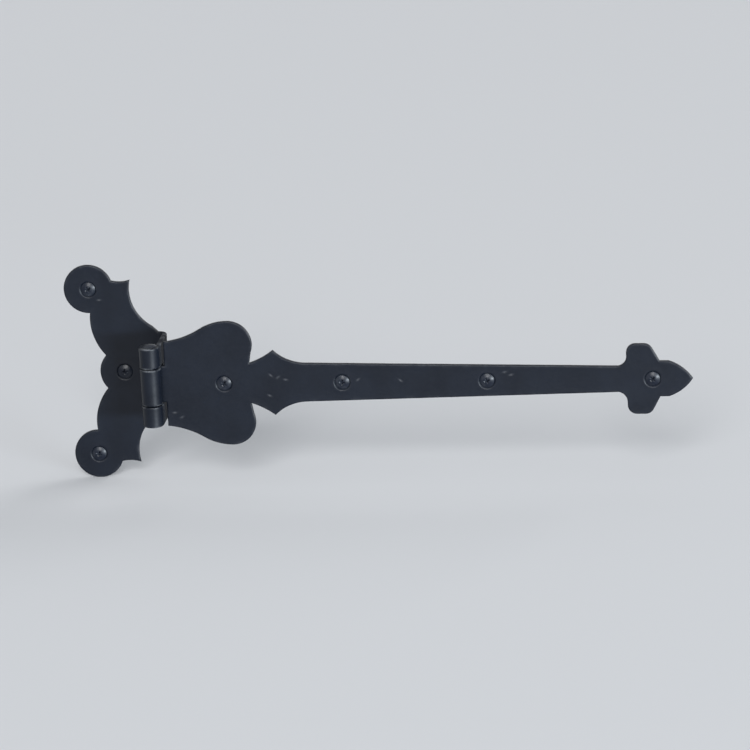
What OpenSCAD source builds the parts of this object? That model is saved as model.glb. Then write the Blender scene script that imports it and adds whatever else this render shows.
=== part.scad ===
// Strap hinge for a door that stands in front of its frame.
// The pin stands along Z, the strap runs to +X and the front faces look along -Y.
// The origin is on the frame leaf's back face, straight behind the middle of the pin.

/* [Overall] */
// Length from the pin axis to the tip of the strap
strap_l = 256; // [200:1:320]
// Height of the frame leaf over its two end lobes
frame_h = 106; // [86:1:130]
// How far the door face stands in front of the frame face
door_step = 21; // [16:0.5:30]
// Thickness of the sheet that both leaves are cut from
sheet_t = 2.2; // [1.6:0.1:2.8]

/* [Barrel and pin] */
// Diameter of the pin
pin_d = 5.4; // [4.4:0.1:6.6]
// Radial clearance of the pin in the knuckles
pin_clearance = 0.05; // [0.02:0.01:0.1]
// Length of the barrel, over all three knuckles
barrel_l = 39.2; // [32:0.2:48]
// Length of the strap's middle knuckle
strap_knuckle_l = 18; // [14:0.2:23]
// Gap between neighbouring knuckles
knuckle_gap = 0.3; // [0.2:0.05:0.6]
// Angle that the sheet is rolled through round the pin
roll_angle = 300; // [280:1:305]
// Diameter of the pin's peened ends
pin_head_d = 7.4; // [7:0.1:9]
// Height of the pin's peened ends
pin_head_h = 1; // [0.5:0.1:1.5]

/* [Frame leaf] */
// Gap between the strap's knuckle and the flange behind it
flange_room = 2.4; // [0.3:0.1:5]
// Outer radius of the bend between plate and flange
bend_r = 4.5; // [4:0.1:6]
// Radius of the end lobes
end_lobe_r = 11.9; // [9.5:0.1:14.3]
// Distance of the end lobes' centres from the pin axis
end_lobe_x = 32.1; // [29:0.1:37]
// Radius of the middle lobe
mid_lobe_r = 12; // [10:0.1:14]
// Distance of the middle lobe's centre from the pin axis
mid_lobe_x = 16.9; // [15:0.1:19]
// Angle round the middle lobe at which the arms leave it, in degrees
arm_leave = 137; // [130:1:145]
// Radius of the arms' bulging outer edge
arm_r = 27; // [21:0.5:40]
// Radius of the hollow between an arm's spike and the bend
cove_r = 20.7; // [18:0.1:30]
// How much taller than the barrel the plate is beside the bend, at each end
corner_rise = 2.7; // [2:0.1:4]
// How far the plate's corners sit back from the bend
corner_set_in = 2.8; // [1:0.1:3.4]
// Reach of an arm's spike past its lobe's centre, towards the pin
spike_reach = 20.3; // [18:0.1:22]
// Height of an arm's spike above its lobe's centre
spike_rise = 4.4; // [3.6:0.1:5.2]
// Height above its lobe's centre at which a scallop meets the lobe
scallop_rise = 4; // [2.4:0.1:4.2]
// Radius of the scallop between a spike and its lobe
scallop_r = 16; // [8:0.1:20]

/* [Strap leaf] */
// Gap between the barrel and the strap's root edge
root_gap = 1.3; // [1:0.05:2]
// Height of the strap at its root edge
root_h = 41.6; // [36:0.2:46]
// Slope of the strap's edge where it leaves the root, in degrees
root_slope = 6; // [0:1:12]
// Distance of the heart lobes' centres from the pin axis
heart_x = 37.1; // [35:0.1:41]
// Height of the heart lobes' centres above the strap's middle line
heart_z = 19; // [17:0.1:22]
// Radius of the heart lobes
heart_r = 11.5; // [10:0.1:13]
// Radius of the longer arc that leads up to the top of the heart lobes
brow_r = 26; // [20:0.5:34]
// Distance from the pin axis to the notch behind the heart
notch_x = 46.9; // [46.3:0.1:48.6]
// Width of the strap at the notch behind the heart
notch_w = 19.8; // [15:0.1:21]
// Distance from the pin axis to the strap's side points
point_x = 58.2; // [56:0.1:63]
// Width of the strap over its side points
point_w = 32; // [28:0.2:38]
// Hollow radius between the notch and a side point
point_inner_r = 40; // [14:0.5:60]
// Distance from the pin axis to the start of the straight taper
taper_x = 74; // [71:0.5:81]
// Width of the strap at the start of the taper
taper_w = 19; // [16:0.1:22]
// Width of the strap at the end of the taper
taper_end_w = 12.6; // [10.4:0.1:15]

/* [Strap tip] */
// Distance from the tip back to the near edge of the cross arms
cross_back = 31; // [29:0.1:36]
// Width of the strap over the cross arms
cross_w = 34.4; // [32:0.2:40]
// Radius of the cross arms' outer corners
cross_r = 4.4; // [3:0.1:4.6]
// Distance between the centres of a cross arm's two outer corners
cross_flat = 4; // [3:0.1:6]
// Lean of the cross arms' far edge, in degrees
cross_lean = 28; // [15:1:32]
// Fillet between the taper and the cross arms
cross_fillet = 4.8; // [2:0.1:5]
// Width of the arrow at its shoulders
arrow_w = 17.4; // [14:0.1:19]
// Length of the arrow's curved point
arrow_l = 11.2; // [10:0.1:13]
// Radius of the arrow's curved sides
arrow_r = 21.3; // [15:0.1:40]

/* [Screws] */
// Outer diameter of the screws' threads
screw_d = 3.5; // [3:0.1:4.2]
// Length of the screws below the rim of the head
screw_l = 16; // [12:0.5:20]
// Diameter of the screws' heads
head_d = 7; // [6.2:0.1:8]
// Height of the raised crown of the heads
crown_h = 1; // [0.6:0.1:1.2]
// Length of the screws' points
point_l = 3.5; // [2.5:0.1:5]
// Width across the cross recess in the heads
recess_w = 3.4; // [2.6:0.1:4]
// Width of one slot of the cross recess
recess_slot = 0.9; // [0.6:0.05:1.2]
// Depth of the cross recess below the crown
recess_depth = 1.5; // [1:0.1:1.8]
// How much wider the holes are than the threads
hole_room = 1.1; // [0.6:0.1:1.4]
// How much wider the countersinks are than the heads
countersink_room = 1; // [0.6:0.1:1.2]
// Gap between the heads and their countersinks
seat_gap = 0.05; // [0.02:0.01:0.1]
// Distance from the pin axis to the screw in the heart
heart_screw_x = 34.4; // [29:0.1:39]
// Distance from the pin axis to the inner screw of the strap
inner_screw_x = 90.8; // [79:0.1:99]
// Distance from the pin axis to the outer screw of the strap
outer_screw_x = 159.4; // [120:0.1:161]
// Distance from the tip back to the screw in the cross
tip_screw_back = 18.8; // [17:0.1:22]

/* [Hidden] */
$fn = 96;

leaf_colour = [0.17, 0.19, 0.22];
pin_colour = [0.2, 0.22, 0.25];
screw_colour = [0.24, 0.26, 0.29];

// How far cutting and joining shapes run past the faces that they meet
overlap = 1;
// How far one arc bites into the next where they run together, so that they cross at one point
arc_bite = 0.001;

// Barrel, bend and flange
bore_r = pin_d / 2 + pin_clearance;
barrel_r = bore_r + sheet_t;
strap_back_y = -door_step;
pin_y = strap_back_y - barrel_r;
bend_x = barrel_r - bend_r;

// Points of the frame leaf's outline, above its middle line
mid_lobe = [-mid_lobe_x, 0];
end_lobe = [-end_lobe_x, frame_h / 2 - end_lobe_r];
arm_start = mid_lobe + polar(mid_lobe_r, arm_leave);
arm_end = end_lobe - [0, end_lobe_r];
flange_corner = [bend_x, barrel_l / 2];
plate_corner = flange_corner + [-corner_set_in, corner_rise];
spike = end_lobe + [spike_reach, spike_rise];
scallop_end = end_lobe + polar(end_lobe_r, asin(scallop_rise / end_lobe_r));

// Points of the strap leaf's outline, above its middle line
root_x = barrel_r + root_gap;
root = [root_x, root_h / 2];
heart = [heart_x, heart_z];
brow = heart + [0, heart_r - brow_r];
notch = [notch_x, notch_w / 2];
side_point = [point_x, point_w / 2];
taper_start = [taper_x, taper_w / 2];
cross_x = strap_l - cross_back;
taper_end = [cross_x, taper_end_w / 2];
near_corner = [cross_x + cross_r, cross_w / 2 - cross_r];
far_corner = near_corner + [cross_flat, 0];
lean_start = far_corner + polar(cross_r, cross_lean);
lean_end = [lean_start[0] + (lean_start[1] - arrow_w / 2) * tan(cross_lean), arrow_w / 2];
shoulder = [strap_l - arrow_l, arrow_w / 2];
tip = [strap_l, 0];

// Screws and their holes, with 90 degree countersinks
hole_d = screw_d + hole_room;
countersink_d = head_d + countersink_room;
rim_depth = countersink_room / 2 - seat_gap;
frame_screws = [end_lobe, mid_lobe, [end_lobe[0], -end_lobe[1]]];
strap_screws = [
    [heart_screw_x, 0], [inner_screw_x, 0], [outer_screw_x, 0], [strap_l - tip_screw_back, 0]
];

function polar(r, angle) = [r * cos(angle), r * sin(angle)];

// Point a little way past q, on the line from p to q
function run_past(p, q) = q + (q - p) / norm(q - p) * overlap;

// Centre of the arc of radius r from p to q, on the left of the way from p to q
function arc_centre(p, q, r) =
    let (way = q - p, half = norm(way) / 2)
    (p + q) / 2 + [-way[1], way[0]] / norm(way) * sqrt(r * r - half * half);

// Radius of the hollow arc that starts at p, with its centre in the direction up from there,
// and runs smoothly into a circle, or to the circle's centre where r is 0
function flow_radius(p, up, centre, r) =
    let (way = centre - p)
    (way * way - r * r) / (2 * (r + up * way));

module disc(centre, r) {
    translate(centre) circle(r = r);
}

// Draws an outline above the middle line and again below it
module both_halves() {
    children();
    mirror([0, 1]) children();
}

// Stands an outline up as a sheet whose back face is at y
module sheet(y) {
    translate([0, y, 0]) rotate([90, 0, 0]) linear_extrude(sheet_t) children();
}

// Section of a sheet that runs along +Y and is rolled round the pin, stopping just short of itself
module roll_section(run) {
    open_angle = 360 - roll_angle;
    difference() {
        union() {
            circle(r = barrel_r);
            translate([bore_r, 0]) square([sheet_t, run]);
        }
        circle(r = bore_r);
        polygon([[0, 0], [bore_r, 0], [bore_r, bore_r * tan(open_angle)]]);
    }
}

// Puts a section of the barrel at its lower end z and draws it out to its length
module along_barrel(z, length) {
    translate([0, pin_y, z]) linear_extrude(length) children();
}

// Spherical cap on the XY plane
module dome(d, h) {
    r = (d * d / 4 + h * h) / (2 * h);
    intersection() {
        translate([0, 0, h - r]) sphere(r = r);
        cylinder(r = r, h = h + overlap);
    }
}

// Puts a screw or its hole at a point of a leaf whose front face is at front_y
module at_screw(place, front_y) {
    translate([place[0], front_y, place[1]]) rotate([-90, 0, 0]) children();
}

module screw_hole() {
    cone_h = (countersink_d - hole_d) / 2;
    translate([0, 0, -overlap]) cylinder(d = hole_d, h = sheet_t + 2 * overlap);
    translate([0, 0, -overlap])
        cylinder(d1 = countersink_d + 2 * overlap, d2 = hole_d, h = cone_h + overlap);
}

// Wood screw with a raised countersunk head and a cross recess.
// Its body ends in a low cone inside the crown, which joins the two.
module screw() {
    cone_h = (head_d - screw_d) / 2;
    color(screw_colour) difference() {
        union() {
            translate([0, 0, rim_depth]) mirror([0, 0, 1]) dome(head_d, crown_h);
            rotate_extrude() polygon([
                [0, rim_depth - crown_h / 2],
                [head_d / 2, rim_depth],
                [screw_d / 2, rim_depth + cone_h],
                [screw_d / 2, rim_depth + screw_l - point_l],
                [0, rim_depth + screw_l]
            ]);
        }
        for (turn = [0, 90])
            rotate([0, 0, turn])
            translate([-recess_w / 2, -recess_slot / 2, rim_depth - crown_h - overlap])
            cube([recess_w, recess_slot, recess_depth + overlap]);
    }
}

// One arm of the frame leaf, with its spike.
// Its polygon runs on past the plate's corner and the spike, which the hollows then cut out.
module frame_arm() {
    difference() {
        intersection() {
            disc(arc_centre(arm_end, arm_start, arm_r), arm_r);
            polygon([
                [bend_x, -overlap], flange_corner, run_past(flange_corner, plate_corner),
                spike + [overlap, overlap], [end_lobe[0], spike[1] + overlap],
                end_lobe - [end_lobe_r, 0], [arm_start[0], -overlap]
            ]);
        }
        disc(arc_centre(spike, plate_corner, cove_r), cove_r);
        disc(arc_centre(scallop_end, spike, scallop_r), scallop_r);
    }
}

module frame_outline() {
    disc(mid_lobe, mid_lobe_r);
    translate(mid_lobe - [0, mid_lobe_r]) square([mid_lobe_x + bend_x, 2 * mid_lobe_r]);
    both_halves() {
        frame_arm();
        disc(end_lobe, end_lobe_r);
    }
}

// Bend and flange along the door's edge, with the two outer knuckles.
// Between the knuckles the flange stops behind the strap.
module frame_flange() {
    knuckle_l = (barrel_l - strap_knuckle_l) / 2 - knuckle_gap;
    flange_l = -bend_r - pin_y;
    flange_start = barrel_r + flange_room;
    translate([bend_x, -bend_r, -barrel_l / 2])
        rotate_extrude(angle = 90)
        translate([bend_r - sheet_t, 0])
        square([sheet_t, barrel_l]);
    along_barrel(-barrel_l / 2, barrel_l)
        translate([bore_r, flange_start])
        square([sheet_t, flange_l - flange_start]);
    for (z = [-barrel_l / 2, barrel_l / 2 - knuckle_l])
        along_barrel(z, knuckle_l) roll_section(flange_l);
}

module frame_leaf() {
    color(leaf_colour) difference() {
        union() {
            sheet(0) frame_outline();
            frame_flange();
        }
        for (place = frame_screws) at_screw(place, -sheet_t) screw_hole();
    }
}

// Half of the heart-shaped root.
// A hollow arc leaves the root, and the brow's arc leads from it to the top of the lobe.
module heart_half() {
    up = polar(1, 90 + root_slope);
    flow_r = flow_radius(root, up, brow, brow_r);
    flow_centre = root + up * flow_r;
    flow_end = brow + (flow_centre - brow) * brow_r / norm(flow_centre - brow);
    heart_side = heart + [heart_r, 0];
    difference() {
        polygon([
            [root_x, -overlap], root + [0, overlap], run_past(brow, flow_end),
            brow, [heart_x, -overlap]
        ]);
        disc(flow_centre, flow_r + arc_bite);
    }
    intersection() {
        disc(brow, brow_r);
        translate([root_x, -overlap]) square([heart_x - root_x, heart_z + heart_r + 2 * overlap]);
    }
    intersection() {
        disc(heart, heart_r);
        translate([heart_x, 0]) square(heart_z + heart_r + overlap);
    }
    polygon([[heart_x, -overlap], heart, heart_side, run_past(heart_side, notch), [notch_x, -overlap]]);
}

// Side point between the heart and the taper, and the taper itself
module taper_half() {
    outer_r = flow_radius(taper_start, [0, 1], side_point, 0);
    difference() {
        polygon([
            [notch_x - overlap, -overlap], [notch_x - overlap, side_point[1]],
            run_past(taper_start, side_point), taper_start, [taper_x, -overlap]
        ]);
        disc(arc_centre(notch, side_point, point_inner_r), point_inner_r);
        disc(taper_start + [0, outer_r], outer_r);
    }
    polygon([
        [taper_x - overlap, -overlap], taper_start - [overlap, 0], taper_start,
        taper_end, taper_end + [overlap, 0], [cross_x + overlap, -overlap]
    ]);
}

// Half of the cross arms, filleted into the taper
module cross_half() {
    fillet_corner = taper_end + [-cross_fillet, cross_fillet];
    lean_l = norm(lean_end - lean_start);
    difference() {
        translate([fillet_corner[0], 0]) square([cross_fillet + overlap, fillet_corner[1]]);
        disc(fillet_corner, cross_fillet);
    }
    disc(near_corner, cross_r);
    translate(far_corner) rotate(cross_lean) {
        circle(r = cross_r);
        translate([0, -lean_l]) square([cross_r, lean_l]);
    }
    polygon([
        [cross_x, -overlap], near_corner - [cross_r, 0], near_corner + [0, cross_r],
        far_corner + [0, cross_r], far_corner, lean_end, [lean_end[0], -overlap]
    ]);
}

// Arrow with two curved sides
module arrow() {
    side_centre = arc_centre(tip, shoulder, arrow_r);
    base_x = lean_end[0] - overlap;
    translate([base_x, -arrow_w / 2]) square([shoulder[0] - base_x, arrow_w]);
    intersection() {
        disc(side_centre, arrow_r);
        mirror([0, 1]) disc(side_centre, arrow_r);
        translate([shoulder[0] - overlap, -arrow_w / 2]) square([arrow_l + 2 * overlap, arrow_w]);
    }
}

module strap_outline() {
    both_halves() {
        heart_half();
        taper_half();
        cross_half();
    }
    arrow();
}

module strap_leaf() {
    color(leaf_colour) difference() {
        union() {
            sheet(strap_back_y) strap_outline();
            along_barrel(-strap_knuckle_l / 2, strap_knuckle_l)
                mirror([1, -1]) roll_section(root_x + overlap);
        }
        for (place = strap_screws) at_screw(place, strap_back_y - sheet_t) screw_hole();
    }
}

module hinge_pin() {
    head_z = barrel_l / 2 + pin_clearance;
    color(pin_colour) translate([0, pin_y, 0]) {
        cylinder(d = pin_d, h = 2 * head_z, center = true);
        translate([0, 0, head_z]) dome(pin_head_d, pin_head_h);
        mirror([0, 0, 1]) translate([0, 0, head_z]) dome(pin_head_d, pin_head_h);
    }
}

module frame_screw(i) {
    at_screw(frame_screws[i], -sheet_t) screw();
}

module strap_screw(i) {
    at_screw(strap_screws[i], strap_back_y - sheet_t) screw();
}

frame_leaf();
strap_leaf();
hinge_pin();
frame_screw(0);  // frame_screw_upper
frame_screw(1);  // frame_screw_middle
frame_screw(2);  // frame_screw_lower
strap_screw(0);  // strap_screw_heart
strap_screw(1);  // strap_screw_inner
strap_screw(2);  // strap_screw_outer
strap_screw(3);  // strap_screw_tip
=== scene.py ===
# Looks of the strap hinge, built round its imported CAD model.
import math

import bmesh
import bpy
from mathutils import Euler, Matrix, Vector, kdtree, noise
from mathutils.geometry import delaunay_2d_cdt


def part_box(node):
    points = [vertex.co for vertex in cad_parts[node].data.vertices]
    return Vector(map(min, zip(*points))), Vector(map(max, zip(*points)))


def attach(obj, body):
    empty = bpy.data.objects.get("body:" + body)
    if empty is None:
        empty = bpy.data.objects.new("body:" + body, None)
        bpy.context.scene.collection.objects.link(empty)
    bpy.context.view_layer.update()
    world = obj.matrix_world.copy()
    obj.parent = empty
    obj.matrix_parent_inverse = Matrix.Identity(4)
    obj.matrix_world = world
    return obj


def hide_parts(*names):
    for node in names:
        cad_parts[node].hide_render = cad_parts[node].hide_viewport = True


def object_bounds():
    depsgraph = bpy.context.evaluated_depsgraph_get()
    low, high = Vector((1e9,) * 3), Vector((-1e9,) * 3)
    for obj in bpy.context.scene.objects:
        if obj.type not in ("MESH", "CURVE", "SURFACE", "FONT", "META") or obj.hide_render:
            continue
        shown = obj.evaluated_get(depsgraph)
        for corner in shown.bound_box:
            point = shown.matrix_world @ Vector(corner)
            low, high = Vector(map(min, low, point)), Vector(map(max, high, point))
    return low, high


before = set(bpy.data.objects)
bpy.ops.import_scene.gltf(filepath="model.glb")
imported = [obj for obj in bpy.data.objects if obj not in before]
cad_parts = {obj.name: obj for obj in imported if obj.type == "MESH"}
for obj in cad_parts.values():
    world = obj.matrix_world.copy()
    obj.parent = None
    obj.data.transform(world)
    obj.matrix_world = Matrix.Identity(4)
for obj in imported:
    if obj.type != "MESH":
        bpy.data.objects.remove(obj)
cad_low, cad_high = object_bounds()

# Sizes of the CAD model in millimetres, as lengths are until they go into a mesh, which is in metres
MM = 0.001
SHEET = 2.2
BORE_R = 2.75
BARREL_R = BORE_R + SHEET
BARREL_L = 39.2
STRAP_KNUCKLE = 18
KNUCKLE_GAP = 0.3
ROLL_ANGLE = math.radians(300)
STRAP_BACK = -21
PIN_Y = STRAP_BACK - BARREL_R
BEND_R = 4.5
BEND_X = BARREL_R - BEND_R
FLANGE_STOP = -18.6
HOLE_R = 2.3
COUNTERSINK_R = 4
PIN_R = 2.7
PIN_HEAD_R = 3.7
PIN_HEAD_H = 1
PIN_PLAY = 0.05
PIN_HEAD_Z = BARREL_L / 2 + PIN_PLAY
HEAD_R = 3.5
RIM_DEPTH = 0.45
CROWN_H = 1
SHANK_R = 1.75
SCREW_L = 16
SCREW_POINT = 3.5
SCREW_TOP = RIM_DEPTH - CROWN_H
SCREW_END = RIM_DEPTH + SCREW_L

# Lengths of the sheet along the middle of its thickness
ROLL_R = BARREL_R - SHEET / 2
ROLL_L = ROLL_R * ROLL_ANGLE
BEND_MID_R = BEND_R - SHEET / 2
BEND_L = BEND_MID_R * math.pi / 2
FLANGE_L = -BEND_R - PIN_Y
FLANGE_END = BEND_X + BEND_L + FLANGE_L

# Spacing of a leaf's mesh on faces that show, on faces that don't, and round the bends
FINE = 0.7
COARSE = 2.4
BENT = 0.4

# Shares of a spacing that inner points keep from the rims, and that moves their rows off the rims' own points
RIM_CLEAR = 0.6
ROW_SHIFT = 0.013

# How near a point lies to count as on a face, or on a fold or a rim, and the decimals that tell points apart
ON_FACE = 0.001
NEAR = 0.01
DECIMALS = 3

# Distances within which points become one, in a leaf's faces and in a screw
LEAF_JOIN = 1e-5
SCREW_JOIN = 0.002

# Kind of filling that makes triangles inside the rims, and in the holes too
INSIDE = 1

# Soft edges of the sheet, which are a little uneven, and how strongly they are rubbed; round the knuckles and
# bends the pale edge colour is much stronger, partly wear and partly a painted highlight
FRONT_EDGE_R = 0.45
BACK_EDGE_R = 0.5
EDGE_UNEVEN = 0.1
EDGE_WAVE = 7
EDGE_INSIDE = 0.02
EDGE_MARGIN = 0.4
EDGE_STEPS = 3
RIM_WEAR = 0.5
KNUCKLE_WEAR_AND_HIGHLIGHT = 7

# Smallest turn of an outline that is a corner, and a factor for the room that its soft edge takes
CORNER = math.radians(10)
CORNER_CLEAR = 1.15

# Points round a screw hole, its soft rim, and the even border round that
HOLE_POINTS = 48
HOLE_RIM = 0.1
HOLE_BORDER = 0.6

# Length and depth of the hammered face's waves and ripples, and the width of the border where they fade out
WAVE_L = 9
WAVE_DEPTH = 0.07
RIPPLE_L = 3.1
RIPPLE_DEPTH = 0.03
RIPPLE_SHIFT = Vector((7, 3, 1))
FADE = 2

# Half length, half width, depth and mesh spacing of a hammer mark, its greatest slant, and the slant's change
MARK_L = 1
MARK_W = 0.4
MARK_DEPTH = 0.2
MARK_FINE = 0.3
MARK_SLANT = 0.7
MARK_VARY = 2.4

# Places of the deeper hammer marks, along each leaf from the pin's axis and up from its middle
STRAP_MARKS = [
    (10, -14), (13.4, -16.3), (57, 4), (60.5, 3), (64, 1.8), (56, -6),
    (98.5, 1.4), (118.6, 0.8), (168, 4.4), (171, 3)
]
FRAME_MARKS = [(-27, 36)]

# Mesh of the pin, the softening of its heads and neck, and the depth and closeness of the blows on its ends
PIN_SEGMENTS = 64
PIN_DOME_STEPS = 9
PIN_SHANK_STEPS = 8
PIN_RIM = 0.06
PIN_UNDER = 0.05
PIN_NECK = 0.1
BLOW_DEPTH = 0.12
BLOW_SCALE = 0.9

# Mesh of a screw
SCREW_SEGMENTS = 48
CROWN_STEPS = 12
CONE_STEPS = 6
THREAD_STEPS = 110

# Softening of a screw's rim, inwards and along it, above and below its widest level
RIM_ABOVE = (0.05, 0.06)
RIM_BELOW = (0.06, 0.07)

# Thread of a screw: its pitch, the shares of that in root and flank, its core, the plain length and the rise
THREAD_PITCH = 1.4
THREAD_ROOT = 0.5
THREAD_FLANK = 0.35
CORE_R = 1.2
PLAIN_L = 1
RISE_L = 1.2

# Distance from a screw's last ring to its end, and of that from the end of the CAD model's screw
LAST_RING = 0.1
SCREW_BLUNT = 0.02

# Cross recess of a screw: its reach, its depth below the top of the head, and the margin of its dull inside
RECESS_R = 1.8
RECESS_DEPTH = 1.5
RECESS_LIP = 0.1

# Outlines of the recess, as (reach, half width of its slots, depth below the top of the head)
RECESS_CUTS = [(RECESS_R, 0.5, -0.4), (0.8, 0.3, 1.25)]

# Turn of the first screw, and of each other one against the one before
FIRST_TURN = 0.4
NEXT_TURN = 1.1

# Repeats of the paint's textures to the metre, and the heights of its pits and grain in metres
CLOUDS = 55
SCUFFS = 210
PITS = 300
GRAIN = 900
PIT_H = 0.00004
GRAIN_H = 0.000012

# Strength of the paint's reflections, how much a hammer mark is paled by rubbed paint and a painted
# highlight, and the roughness of dull paint
SPECULAR = 0.28
MARK_WEAR_AND_HIGHLIGHT = 0.25
DULL = 0.95


def strap_place(u, z, w):
    """Point of the strap at u along its sheet and height w in front of the sheet's back."""
    if u >= 0:
        return Vector((u, STRAP_BACK - w, z))
    angle = -u / ROLL_R
    r = BARREL_R - w
    return Vector((-r * math.sin(angle), PIN_Y + r * math.cos(angle), z))


def frame_place(u, z, w):
    """Point of the frame leaf at u along its sheet and height w in front of the sheet's back."""
    run = u - BEND_X
    if run <= 0:
        return Vector((u, -w, z))
    if run < BEND_L:
        angle = run / BEND_MID_R
        r = BEND_R - w
        return Vector((BEND_X + r * math.sin(angle), -BEND_R + r * math.cos(angle), z))
    run -= BEND_L
    if run < FLANGE_L:
        return Vector((BARREL_R - w, -BEND_R - run, z))
    angle = (run - FLANGE_L) / ROLL_R
    r = BARREL_R - w
    return Vector((r * math.cos(angle), PIN_Y - r * math.sin(angle), z))


def sides(loop):
    """Pairs of neighbours round a closed loop."""
    return zip(loop, loop[1:] + loop[:1])


def middle(points):
    """Mean of points of the flat sheet."""
    return sum(points, Vector((0, 0))) / len(points)


def signed_area(loop):
    return sum(a.cross(b) for a, b in sides(loop)) / 2


def flat_loops(node, y):
    """Edge loops of a CAD node's flat face at y, as (x, z) points turning left, the outline first."""
    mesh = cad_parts[node].data
    edges = set()
    for polygon in mesh.polygons:
        corners = [mesh.vertices[i].co / MM for i in polygon.vertices]
        if any(abs(corner.y - y) > ON_FACE for corner in corners):
            continue
        spots = [(round(corner.x, DECIMALS), round(corner.z, DECIMALS)) for corner in corners]
        for a, b in sides(spots):
            if (b, a) in edges:
                edges.remove((b, a))
            else:
                edges.add((a, b))
    after = dict(sorted(edges))
    loops = []
    while after:
        spot = next(iter(after))
        loop = []
        while spot in after:
            loop.append(Vector(spot))
            spot = after.pop(spot)
        loops.append(loop if signed_area(loop) > 0 else loop[::-1])
    return sorted(loops, key=signed_area, reverse=True)


def unfold(outline, fold_x, tab):
    """Puts a tab's corners into an outline, in place of its straight edge on the fold."""
    for i, (a, b) in enumerate(sides(outline)):
        if abs(a.x - fold_x) < NEAR and abs(b.x - fold_x) < NEAR:
            return outline[i + 1:] + outline[:i + 1] + [Vector(p) for p in tab]
    raise ValueError("no edge lies on the fold")


def turn_at(before, here, after):
    """Angle that a line turns by at a point, to the left."""
    return -(here - before).angle_signed(after - here, 0)


def tangent(before, here, after):
    """Direction of a curve at one of its points, mostly that of the longer of the two chords."""
    into = here - before
    out = after - here
    return (into * into.length ** 2 + out * out.length ** 2).normalized()


def hermite(a, b, start, end, t):
    """Point at t, from 0 to 1, of the curve from a to b that sets off along start and arrives along end."""
    s = 1 - t
    return a * (1 + 2 * t) * s * s + b * (3 - 2 * t) * t * t + start * t * s * s - end * t * t * s


def clear_of_corner(turn):
    """Distance from a corner within which its edges fold over when they are moved in."""
    return CORNER_CLEAR * (FRONT_EDGE_R + EDGE_MARGIN) * math.tan(turn / 2)


def resample(outline, is_bent):
    """Outline with even short steps, shorter where it runs round a bend.

    Its curves are smooth. Its corners stay where they are, and no other point is close to an outer one."""
    count = len(outline)
    turns = [turn_at(outline[i - 1], outline[i], outline[(i + 1) % count]) for i in range(count)]
    corners = [abs(turn) > CORNER for turn in turns]
    points = []
    for i, a in enumerate(outline):
        after = (i + 1) % count
        b = outline[after]
        way = b - a
        start = way if corners[i] else tangent(outline[i - 1], a, b) * way.length
        end = way if corners[after] else tangent(a, b, outline[(i + 2) % count]) * way.length
        round_bend = is_bent((a.x + b.x) / 2) and abs(way.x) > BENT
        steps = max(1, math.ceil(way.length / (BENT if round_bend else FINE)))
        points += [hermite(a, b, start, end, k / steps) for k in range(steps)]
    sharp = [(p, clear_of_corner(turn)) for p, turn in zip(outline, turns) if turn > CORNER]
    return [p for p in points if all((p - c).length > clear or p == c for c, clear in sharp)]


def inward(points):
    """For each point of an outline, the way in that moves its edges in by one millimetre."""
    ways = []
    for i, here in enumerate(points):
        into = (here - points[i - 1]).normalized().orthogonal()
        out = (points[(i + 1) % len(points)] - here).normalized().orthogonal()
        ways.append((into + out) / (1 + into.dot(out)))
    return ways


def rows_inside(loops, z_step):
    """Rows across loops of points, as (z, [where the row enters and leaves])."""
    low = min(p.y for p in loops[0])
    high = max(p.y for p in loops[0])
    for k in range(1, math.ceil((high - low) / z_step)):
        z = low + k * z_step + z_step * ROW_SHIFT
        crossings = []
        for loop in loops:
            for a, b in sides(loop):
                if (a.y > z) != (b.y > z):
                    crossings.append(a.x + (b.x - a.x) * (z - a.y) / (b.y - a.y))
        crossings.sort()
        yield z, list(zip(crossings[::2], crossings[1::2]))


def search_tree(points):
    """Tree for finding the nearest of some points of the flat sheet."""
    tree = kdtree.KDTree(len(points))
    for i, p in enumerate(points):
        tree.insert((p.x, p.y, 0), i)
    tree.balance()
    return tree


def distance(tree, u, z):
    """Distance from a place on the sheet to the nearest point of a search tree."""
    return tree.find((u, z, 0))[2]


def fill_points(loops, border, u_step, z_step, wanted):
    """Points of a grid inside loops, clear of the loops' own points, whose search tree is border."""
    clear = RIM_CLEAR * min(u_step, z_step)
    points = []
    for row, (z, spans) in enumerate(rows_inside(loops, z_step)):
        for a, b in spans:
            for k in range(math.ceil(a / u_step), math.floor(b / u_step) + 1):
                u = (k + row % 2 / 2) * u_step
                if a < u < b and wanted(u) and distance(border, u, z) > clear:
                    points.append(Vector((u, z)))
    return points


def unit_noise(p):
    """Smooth noise from 0 to 1."""
    return 0.5 + 0.5 * noise.noise(p)


def relief(u, z, marks):
    """How deep the hammered face lies at a point, and how much of that is a single mark."""
    spot = Vector((u, z, 0))
    waves = WAVE_DEPTH * unit_noise(spot / WAVE_L)
    ripples = RIPPLE_DEPTH * unit_noise(spot / RIPPLE_L + RIPPLE_SHIFT)
    mark = 0
    for i, (mark_u, mark_z) in enumerate(marks):
        angle = MARK_SLANT * math.sin(MARK_VARY * i)
        du = u - mark_u
        dz = z - mark_z
        along = (du * math.cos(angle) + dz * math.sin(angle)) / MARK_L
        across = (dz * math.cos(angle) - du * math.sin(angle)) / MARK_W
        mark = max(mark, math.exp(-along * along - across * across))
    return waves + ripples + MARK_DEPTH * mark, mark


def mark_points(marks):
    """Points of a finer grid round each hammer mark."""
    steps = round(2 * MARK_L / MARK_FINE)
    offsets = [k * MARK_FINE for k in range(-steps, steps + 1)]
    return [Vector((u + du, z + dz)) for u, z in marks for du in offsets for dz in offsets]


def rounding(r):
    """Steps round a quarter circle from a face to the edge beside it, as (way in, drop below the face)."""
    angles = [math.pi / 2 * i / EDGE_STEPS for i in range(EDGE_STEPS + 1)]
    return [(r * (1 - math.sin(angle)), r * (1 - math.cos(angle))) for angle in angles]


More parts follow.
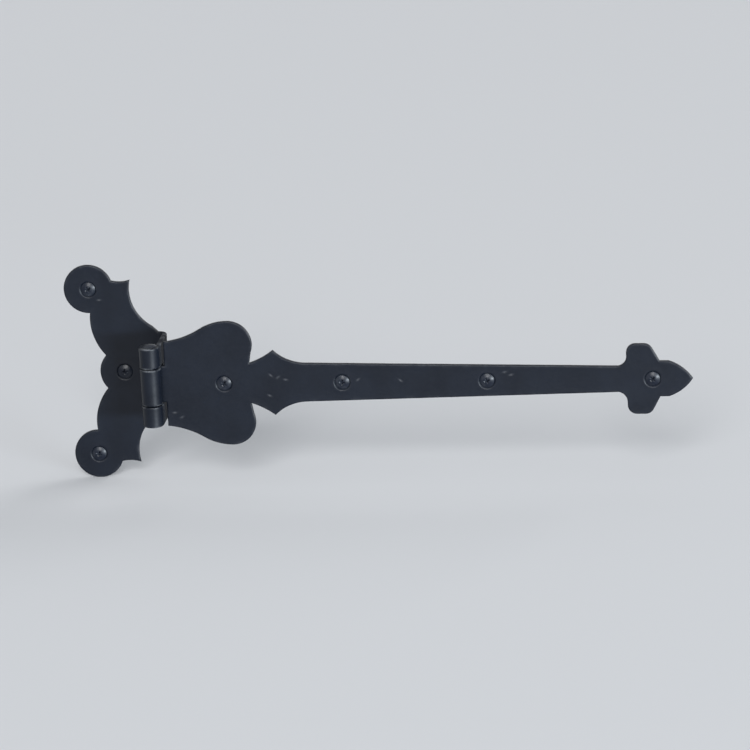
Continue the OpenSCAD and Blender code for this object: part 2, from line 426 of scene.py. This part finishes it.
def edge_rings():
    """Steps round the sheet's edge from its front to its back, as (way in, height, wear)."""
    rings = [(FRONT_EDGE_R + EDGE_MARGIN, SHEET, RIM_WEAR)]
    rings += [(way_in, SHEET - drop, 1) for way_in, drop in rounding(FRONT_EDGE_R)]
    rings += [(way_in, drop, 1) for way_in, drop in reversed(rounding(BACK_EDGE_R))]
    rings.append((BACK_EDGE_R + EDGE_MARGIN, 0, 0))
    return rings


def hole_rings():
    """Steps through a countersunk hole from the front to the back, as (radius, height, wear)."""
    cone = COUNTERSINK_R - HOLE_R
    return [
        (COUNTERSINK_R + HOLE_BORDER, SHEET, 0),
        (COUNTERSINK_R + HOLE_RIM, SHEET, 1),
        (COUNTERSINK_R - HOLE_RIM / 2, SHEET - HOLE_RIM, 1),
        (HOLE_R, SHEET - cone, 0),
        (HOLE_R, HOLE_RIM, 0),
        (HOLE_R + HOLE_RIM, 0, 0),
        (HOLE_R + HOLE_BORDER, 0, 0)
    ]


def ring(r, level, count):
    """Ring of points of radius r at a level along the turned piece's axis, as (x, y, level)."""
    step = 2 * math.pi / count
    return [Vector((r * math.cos(i * step), r * math.sin(i * step), level)) for i in range(count)]


def add_strip(bm, first, second):
    """Band of faces between two rings of as many verts."""
    for i in range(len(first)):
        bm.faces.new((first[i - 1], first[i], second[i], second[i - 1]))


def add_object(name, data):
    """New object in the scene."""
    obj = bpy.data.objects.new(name, data)
    bpy.context.scene.collection.objects.link(obj)
    return obj


def finish_mesh(bm, name):
    """Object with the closed mesh of bm, its faces turned outwards and shaded smooth."""
    bmesh.ops.recalc_face_normals(bm, faces=bm.faces)
    mesh = bpy.data.meshes.new(name)
    bm.to_mesh(mesh)
    bm.free()
    mesh.shade_smooth()
    return add_object(name, mesh)


class Sheet:
    """Mesh of a leaf, made from points of its sheet laid flat, each with a height above the sheet's back."""

    def __init__(self, place, is_bent, is_dull):
        self.place = place
        self.is_bent = is_bent
        self.is_dull = is_dull
        self.bm = bmesh.new()
        self.worn = self.bm.verts.layers.float.new("edge")
        self.marked = self.bm.verts.layers.float.new("dent")
        self.dulled = self.bm.verts.layers.float.new("dull")

    def vert(self, p, w, wear=0, mark=0):
        """Vert at a point of the flat sheet and height w."""
        vert = self.bm.verts.new(self.place(p.x, p.y, w) * MM)
        # On the bent parts, the knuckles among them, the edges are paled many times more: wear and a painted
        # highlight
        vert[self.worn] = wear * KNUCKLE_WEAR_AND_HIGHLIGHT if self.is_bent(p.x) else wear
        vert[self.marked] = mark
        vert[self.dulled] = float(self.is_dull(p.x))
        return vert

    def rim(self, points, w, wear):
        """Ring of verts at height w, as (points, verts)."""
        return points, [self.vert(p, w, wear) for p in points]

    def join(self, rims):
        """Bands of faces from each rim to the next."""
        for (_, first), (_, second) in zip(rims, rims[1:]):
            add_strip(self.bm, first, second)

    def fill(self, rims, w, into, flat_step, bent_step, marks):
        """Face at height w between rims, with a relief into the sheet: up if into is 1, down if it is -1."""
        loops = [points for points, verts in rims]
        rim_points = [p for points, verts in rims for p in points]
        rim_verts = [vert for points, verts in rims for vert in verts]
        border = search_tree(rim_points)
        inner = fill_points(loops, border, flat_step, flat_step, lambda u: not self.is_bent(u))
        inner += fill_points(loops, border, BENT, bent_step, self.is_bent)
        inner += mark_points(marks)
        edges = []
        for loop in loops:
            edges += sides(list(range(len(edges), len(edges) + len(loop))))
        spots, _, faces, sources, _, _ = delaunay_2d_cdt(
            rim_points + inner, edges, [], INSIDE, LEAF_JOIN)
        verts = []
        for p, came_from in zip(spots, sources):
            if came_from and came_from[0] < len(rim_points):
                verts.append(rim_verts[came_from[0]])
                continue
            depth, mark = relief(p.x, p.y, marks)
            fade = min(1, distance(border, p.x, p.y) / FADE)
            verts.append(self.vert(p, w + into * depth * fade, 0, mark * fade))
        holes = [(middle(loop), loop[0]) for loop in loops[1:]]
        for face in faces:
            here = middle([spots[i] for i in face])
            if all((here - centre).length > (rim - centre).length for centre, rim in holes):
                self.bm.faces.new([verts[i] for i in face])


def make_leaf(name, node, place, back_y, fold_x, bent_side, tab, marks, dull):
    """Leaf of the hinge as one closed sheet, with soft worn edges, paled further round its bends as a painted
    highlight, and a hammered face.

    The sheet is bent past fold_x, on the side of bent_side. It is dull between the two lengths in dull."""
    outline, *holes = flat_loops(node, back_y)

    def is_bent(u):
        return (u - fold_x) * bent_side > 0

    def is_dull(u):
        return dull[0] < u < dull[1]

    points = resample(unfold(outline, fold_x, tab), is_bent)
    ways = inward(points)
    uneven = [EDGE_INSIDE + EDGE_UNEVEN * unit_noise(p.to_3d() / EDGE_WAVE) for p in points]
    sheet = Sheet(place, is_bent, is_dull)
    edge = []
    for way_in, w, wear in edge_rings():
        moved = [p + way * (way_in + extra) for p, way, extra in zip(points, ways, uneven)]
        edge.append(sheet.rim(moved, w, wear))
    sheet.join(edge)
    fronts = [edge[0]]
    backs = [edge[-1]]
    for loop in holes:
        centre = middle(loop)
        hole = []
        for r, w, wear in hole_rings():
            hole.append(sheet.rim([centre + p.xy for p in ring(r, w, HOLE_POINTS)], w, wear))
        sheet.join(hole[::-1])
        fronts.append(hole[0])
        backs.append(hole[-1])
    sheet.fill(fronts, w=SHEET, into=-1, flat_step=FINE, bent_step=COARSE, marks=marks)
    sheet.fill(backs, w=0, into=1, flat_step=COARSE, bent_step=FINE, marks=[])
    return finish_mesh(sheet.bm, name)


def turned_mesh(rings, first, last):
    """Closed turned body through rings of points, with a point on its axis at each of the end levels."""
    bm = bmesh.new()
    verts = [[bm.verts.new(p * MM) for p in points] for points in rings]
    for low, high in zip(verts, verts[1:]):
        add_strip(bm, low, high)
    for level, end in ((first, verts[0]), (last, verts[-1])):
        centre = bm.verts.new((0, 0, level * MM))
        for i in range(len(end)):
            bm.faces.new((end[i - 1], end[i], centre))
    return bm


def sphere_r(r, h):
    """Radius of the sphere that a cap of radius r and height h is cut from."""
    return (r * r + h * h) / (2 * h)


def cap_profile(r, h, steps):
    """Radius and drop below the top of a spherical cap, from near its top to its rim."""
    whole_r = sphere_r(r, h)
    widest = math.asin(r / whole_r)
    angles = [widest * (i + 1) / steps for i in range(steps)]
    return [(whole_r * math.sin(angle), whole_r * (1 - math.cos(angle))) for angle in angles]


def make_pin():
    """Pin with its two ends hammered over into low domes."""
    top = PIN_HEAD_Z + PIN_HEAD_H
    dome = cap_profile(PIN_HEAD_R - PIN_RIM, PIN_HEAD_H - 2 * PIN_RIM, PIN_DOME_STEPS)
    head = [(r, top - drop) for r, drop in dome]
    head += [(PIN_HEAD_R, PIN_HEAD_Z + PIN_RIM), (PIN_HEAD_R - PIN_UNDER, PIN_HEAD_Z)]
    head += [(PIN_R + PIN_NECK, PIN_HEAD_Z), (PIN_R, PIN_HEAD_Z - PIN_NECK)]
    steps = range(PIN_SHANK_STEPS - 1, -PIN_SHANK_STEPS, -1)
    shank = [(PIN_R, PIN_HEAD_Z * k / PIN_SHANK_STEPS) for k in steps]
    foot = [(r, -level) for r, level in reversed(head)]
    rings = [ring(r, level, PIN_SEGMENTS) for r, level in head + shank + foot]
    for points in rings[:PIN_DOME_STEPS] + rings[-PIN_DOME_STEPS:]:
        for p in points:
            p.z -= math.copysign(BLOW_DEPTH * unit_noise(p * BLOW_SCALE), p.z)
    end = top - BLOW_DEPTH / 2
    bm = turned_mesh(rings, end, -end)
    bmesh.ops.translate(bm, verts=bm.verts, vec=(0, PIN_Y * MM, 0))
    worn = bm.verts.layers.float.new("edge")
    for vert in bm.verts:
        vert[worn] = float(abs(vert.co.z) > PIN_HEAD_Z * MM)
    return finish_mesh(bm, "hinge_pin_peened")


def thread_r(level, angle, core):
    """Radius of the screw's thread at a level along it and an angle round it."""
    phase = (level / THREAD_PITCH - angle / (2 * math.pi)) % 1
    tooth = min(1, max(0, (abs(2 * phase - 1) - THREAD_ROOT) / THREAD_FLANK))
    return core + (SHANK_R - core) * tooth


def screw_rings(end):
    """Rings of a wood screw with a raised head, from near its top to near its end."""
    crown = cap_profile(HEAD_R - RIM_ABOVE[0], CROWN_H - RIM_ABOVE[1], CROWN_STEPS)
    rows = [(r, SCREW_TOP + drop) for r, drop in crown]
    rows += [(HEAD_R, RIM_DEPTH), (HEAD_R - RIM_BELOW[0], RIM_DEPTH + RIM_BELOW[1])]
    cone = HEAD_R - SHANK_R
    drops = [k * cone / CONE_STEPS for k in range(1, CONE_STEPS + 1)]
    rows += [(HEAD_R - drop, RIM_DEPTH + drop) for drop in drops]
    rings = [ring(r, level, SCREW_SEGMENTS) for r, level in rows]
    start = RIM_DEPTH + cone + PLAIN_L
    point_l = end - (SCREW_END - SCREW_POINT)
    for k in range(THREAD_STEPS + 1):
        level = start + (end - LAST_RING - start) * k / THREAD_STEPS
        taper = min(1, (end - level) / point_l)
        rise = min(1, (level - start) / RISE_L)
        core = SHANK_R - (SHANK_R - CORE_R) * rise
        points = ring(1, level, SCREW_SEGMENTS)
        for i, p in enumerate(points):
            r = thread_r(level, 2 * math.pi * i / SCREW_SEGMENTS, core) * taper
            p.x *= r
            p.y *= r
        rings.append(points)
    return rings


def recess_rings():
    """Rings of a cross recess, narrower at its floor than at its mouth."""
    rings = []
    for reach, half_slot, depth in RECESS_CUTS:
        points = []
        for k in range(4):
            quarter = Matrix.Rotation(k * math.pi / 2, 3, "Z")
            for corner in ((reach, -half_slot), (reach, half_slot), (half_slot, half_slot)):
                points.append(quarter @ Vector((*corner, SCREW_TOP + depth)))
        rings.append(points)
    return rings


def add_values(mesh, name, values):
    """Gives each vert of a mesh its own value."""
    mesh.attributes.new(name, "FLOAT", "POINT").data.foreach_set("value", values)


def screw_mesh():
    """Wood screw along +Z from the level of its leaf's front face, with a rubbed crown and a dull recess."""
    end = SCREW_END - SCREW_BLUNT
    body = finish_mesh(turned_mesh(screw_rings(end), SCREW_TOP, end), "screw_body")
    mouth = SCREW_TOP + RECESS_CUTS[0][2]
    cutter = finish_mesh(turned_mesh(recess_rings(), mouth, SCREW_TOP + RECESS_DEPTH), "screw_cutter")
    cut = body.modifiers.new("recess", "BOOLEAN")
    cut.operation = "DIFFERENCE"
    cut.solver = "EXACT"
    cut.object = cutter
    result = body.evaluated_get(bpy.context.evaluated_depsgraph_get())
    mesh = bpy.data.meshes.new_from_object(result)
    for used in (body, cutter):
        bpy.data.objects.remove(used)

    bm = bmesh.new()
    bm.from_mesh(mesh)
    bmesh.ops.remove_doubles(bm, verts=bm.verts, dist=SCREW_JOIN * MM)
    bm.to_mesh(mesh)
    bm.free()

    crown_r = sphere_r(HEAD_R, CROWN_H)
    worn = []
    dulled = []
    for vert in mesh.vertices:
        r = vert.co.xy.length / MM
        level = vert.co.z / MM
        sunk = level - SCREW_TOP - r * r / (2 * crown_r)
        worn.append(level < RIM_DEPTH + NEAR and r > RECESS_R)
        dulled.append(r < RECESS_R + RECESS_LIP and RECESS_LIP < sunk < RECESS_DEPTH + RECESS_LIP)
    add_values(mesh, "edge", worn)
    add_values(mesh, "dull", dulled)
    return mesh


def add_node(tree, kind, inputs=None, **settings):
    """Shader node with its inputs set to values or joined to other nodes' outputs."""
    added = tree.nodes.new("ShaderNode" + kind)
    for key, value in settings.items():
        setattr(added, key, value)
    for key, value in (inputs or {}).items():
        if isinstance(value, bpy.types.NodeSocket):
            tree.links.new(value, added.inputs[key])
        else:
            added.inputs[key].default_value = value
    return added


def noise_node(tree, coords, scale, detail):
    inputs = {"Vector": coords, "Scale": scale, "Detail": detail, "Roughness": 0.6}
    return add_node(tree, "TexNoise", inputs).outputs["Fac"]


def attribute(tree, name):
    return add_node(tree, "Attribute", attribute_name=name).outputs["Fac"]


def ranged(tree, value, low, high, to_low=0, to_high=1):
    """Value from low to high, spread over to_low to to_high."""
    inputs = {"Value": value, "From Min": low, "From Max": high, "To Min": to_low, "To Max": to_high}
    return add_node(tree, "MapRange", inputs).outputs["Result"]


def math_node(tree, operation, a, b):
    return add_node(tree, "Math", {0: a, 1: b}, operation=operation).outputs[0]


def mixed(tree, factor, a, b):
    """Colour a where the factor is 0, and b where it is 1."""
    return add_node(tree, "Mix", {0: factor, 6: a, 7: b}, data_type="RGBA").outputs[2]


def paint(name, base, dusty, worn, smooth, rough, wear):
    """Satin black paint on hammered iron, dusty in places, paler at its edges and marks from wear and a
    painted highlight.
    """
    material = bpy.data.materials.new(name)
    material.use_nodes = True
    tree = material.node_tree
    coords = add_node(tree, "TexCoord").outputs["Object"]

    scuffs = ranged(tree, noise_node(tree, coords, SCUFFS, detail=4), low=0.45, high=0.7)
    pale_wear_and_highlight = math_node(tree, "MULTIPLY", attribute(tree, "edge"), scuffs)
    pale_wear_and_highlight = math_node(tree, "MULTIPLY", pale_wear_and_highlight, wear)
    # Hammer marks paled towards the worn colour, as rubbed paint and a painted highlight
    marks_rubbed_and_highlighted = math_node(tree, "MULTIPLY", attribute(tree, "dent"), MARK_WEAR_AND_HIGHLIGHT)
    pale_wear_and_highlight = math_node(tree, "MAXIMUM", pale_wear_and_highlight, marks_rubbed_and_highlighted)
    clouds = ranged(tree, noise_node(tree, coords, CLOUDS, detail=4), low=0.35, high=0.7)
    colour = mixed(tree, clouds, (*base, 1), (*dusty, 1))
    colour = mixed(tree, pale_wear_and_highlight, colour, (*worn, 1))

    grain = noise_node(tree, coords, GRAIN, detail=3)
    roughness = ranged(tree, grain, low=0.3, high=0.7, to_low=smooth, to_high=rough)
    dull = math_node(tree, "MULTIPLY", attribute(tree, "dull"), DULL)
    roughness = math_node(tree, "MAXIMUM", roughness, dull)

    pits = noise_node(tree, coords, PITS, detail=3)
    pitted = add_node(tree, "Bump", {"Strength": 1, "Distance": PIT_H, "Height": pits}).outputs["Normal"]
    bumps = {"Strength": 1, "Distance": GRAIN_H, "Height": grain, "Normal": pitted}
    normal = add_node(tree, "Bump", bumps).outputs["Normal"]

    shader = tree.nodes["Principled BSDF"]
    shader.inputs["Specular IOR Level"].default_value = SPECULAR
    tree.links.new(colour, shader.inputs["Base Color"])
    tree.links.new(roughness, shader.inputs["Roughness"])
    tree.links.new(normal, shader.inputs["Normal"])
    return material


leaf_paint = paint(
    "leaf_paint",
    base=(0.001, 0.0026, 0.0066), dusty=(0.0026, 0.0048, 0.0102), worn=(0.1, 0.105, 0.115),
    smooth=0.37, rough=0.47, wear=0.12)
pin_paint = paint(
    "pin_paint",
    base=(0.004, 0.006, 0.012), dusty=(0.01, 0.013, 0.02), worn=(0.1, 0.105, 0.115),
    smooth=0.33, rough=0.43, wear=0.4)
screw_paint = paint(
    "screw_paint",
    base=(0.003, 0.005, 0.011), dusty=(0.007, 0.01, 0.017), worn=(0.05, 0.053, 0.06),
    smooth=0.3, rough=0.4, wear=0.3)


def add_piece(piece, body, node, material):
    """Lets a piece stand for a node of the CAD model, on the node's body."""
    piece.data.materials.clear()
    piece.data.materials.append(material)
    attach(piece, body)
    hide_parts(node)


half_knuckle = STRAP_KNUCKLE / 2
strap_sheet = make_leaf(
    "strap_sheet", "strap_leaf", strap_place, back_y=STRAP_BACK, fold_x=0, bent_side=-1,
    tab=[(-ROLL_L, half_knuckle), (-ROLL_L, -half_knuckle)],
    marks=STRAP_MARKS, dull=(0, 0))
half_barrel = BARREL_L / 2
tab_end = FLANGE_END + ROLL_L
notch_u = BEND_X + BEND_L - BEND_R - FLANGE_STOP
notch_z = half_knuckle + KNUCKLE_GAP
frame_sheet = make_leaf(
    "frame_sheet", "frame_leaf", frame_place, back_y=0, fold_x=BEND_X, bent_side=1,
    tab=[
        (tab_end, -half_barrel), (tab_end, -notch_z), (notch_u, -notch_z),
        (notch_u, notch_z), (tab_end, notch_z), (tab_end, half_barrel)
    ],
    marks=FRAME_MARKS, dull=(BEND_X, FLANGE_END))
add_piece(strap_sheet, "strap", "strap_leaf", leaf_paint)
add_piece(frame_sheet, "frame", "frame_leaf", leaf_paint)
add_piece(make_pin(), "frame", "hinge_pin", pin_paint)

# Screws, whose names start with their body's
master = screw_mesh()
into_leaf = Matrix.Rotation(-math.pi / 2, 4, "X")
screw_nodes = [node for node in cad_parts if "screw" in node]
for i, node in enumerate(sorted(screw_nodes)):
    low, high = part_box(node)
    body = node.split("_")[0]
    front = high.y - SCREW_END * MM
    place = Vector(((low.x + high.x) / 2, front, (low.z + high.z) / 2))
    turn = Matrix.Rotation(FIRST_TURN + NEXT_TURN * i, 4, "Z")
    screw = add_object(node + "_turned", master.copy())
    screw.matrix_world = Matrix.Translation(place) @ into_leaf @ turn
    add_piece(screw, body, node, screw_paint)

# Floor, in metres as the lamps and the camera are
FLOOR_HALF = 40
FLOOR_CELLS = 8
floor_mesh = bpy.data.meshes.new("floor")
bm = bmesh.new()
bmesh.ops.create_grid(bm, x_segments=FLOOR_CELLS, y_segments=FLOOR_CELLS, size=FLOOR_HALF)
bmesh.ops.translate(bm, verts=bm.verts, vec=(0, 0, cad_low.z))
bm.to_mesh(floor_mesh)
bm.free()
floor = add_object("floor", floor_mesh)
floor_paint = bpy.data.materials.new("floor_paint")
floor_paint.use_nodes = True
floor_shader = floor_paint.node_tree.nodes["Principled BSDF"]
floor_shader.inputs["Base Color"].default_value = (0.64, 0.65, 0.67, 1)
floor_shader.inputs["Roughness"].default_value = 1
floor_shader.inputs["Specular IOR Level"].default_value = 0
floor_mesh.materials.append(floor_paint)


def add_lamp(name, kind, place, way, power):
    data = bpy.data.lights.new(name, kind)
    data.energy = power
    lamp = add_object(name, data)
    lamp.matrix_world = Matrix.Translation(place) @ Vector(way).to_track_quat("-Z", "Y").to_matrix().to_4x4()
    return lamp


def add_sun(name, way, degrees, power):
    """Sun that shines along way and is as wide as degrees."""
    lamp = add_lamp(name, "SUN", (0, 0, 0), way, power)
    lamp.data.angle = math.radians(degrees)


def add_softbox(name, place, aim, size, colour, power):
    """Rectangular lamp at place, turned to aim."""
    lamp = add_lamp(name, "AREA", place, Vector(aim) - Vector(place), power)
    lamp.data.shape = "RECTANGLE"
    lamp.data.size, lamp.data.size_y = size
    lamp.data.color = colour
    lamp.visible_camera = False


add_sun("sun", way=(0, 0.88, -0.46), degrees=28, power=2.3)
add_sun("back_sun", way=(-0.75, -0.6, -0.3), degrees=40, power=1.4)
add_softbox(
    "strip", place=(2.5, -2.8, 0.14), aim=(0, PIN_Y * MM, 0), size=(1.5, 0.36),
    colour=(0.84, 0.93, 1), power=205)

# Soft light from all round, and the backdrop that shows behind the floor and in reflections
world = bpy.data.worlds.new("world")
world.use_nodes = True
tree = world.node_tree
sky = tree.nodes["Background"]
sky.inputs["Color"].default_value = (0.94, 0.97, 1, 1)
sky.inputs["Strength"].default_value = 0.45
backdrop = add_node(tree, "Background", {"Color": (0.6, 0.61, 0.63, 1), "Strength": 1})
path = add_node(tree, "LightPath")
seen = math_node(tree, "MAXIMUM", path.outputs["Is Camera Ray"], path.outputs["Is Glossy Ray"])
seen = math_node(tree, "MAXIMUM", seen, path.outputs["Is Transmission Ray"])
shown = add_node(tree, "MixShader", {0: seen, 1: sky.outputs[0], 2: backdrop.outputs[0]})
tree.links.new(shown.outputs[0], tree.nodes["World Output"].inputs["Surface"])
bpy.context.scene.world = world

# Camera at the photograph's viewpoint, turned the shortest way from its line of sight to the hinge
EYE = Vector((0.3955, -2.113, 0.6453))
AIM = Vector((0.105, -0.012, 0))
TILT = math.radians(17.95)
ROLL = -0.01
LENS = 225
camera_data = bpy.data.cameras.new("camera")
camera_data.lens = LENS
camera = add_object("camera", camera_data)
straight = Euler((math.pi / 2 - TILT, 0, 0)).to_matrix()
swing = (straight @ Vector((0, 0, -1))).rotation_difference(AIM - EYE)
aimed = (swing.to_matrix() @ straight).to_4x4()
camera.matrix_world = Matrix.Translation(EYE) @ aimed @ Matrix.Rotation(ROLL, 4, "Z")
bpy.context.scene.camera = camera
bpy.context.scene.view_settings.view_transform = "Standard"
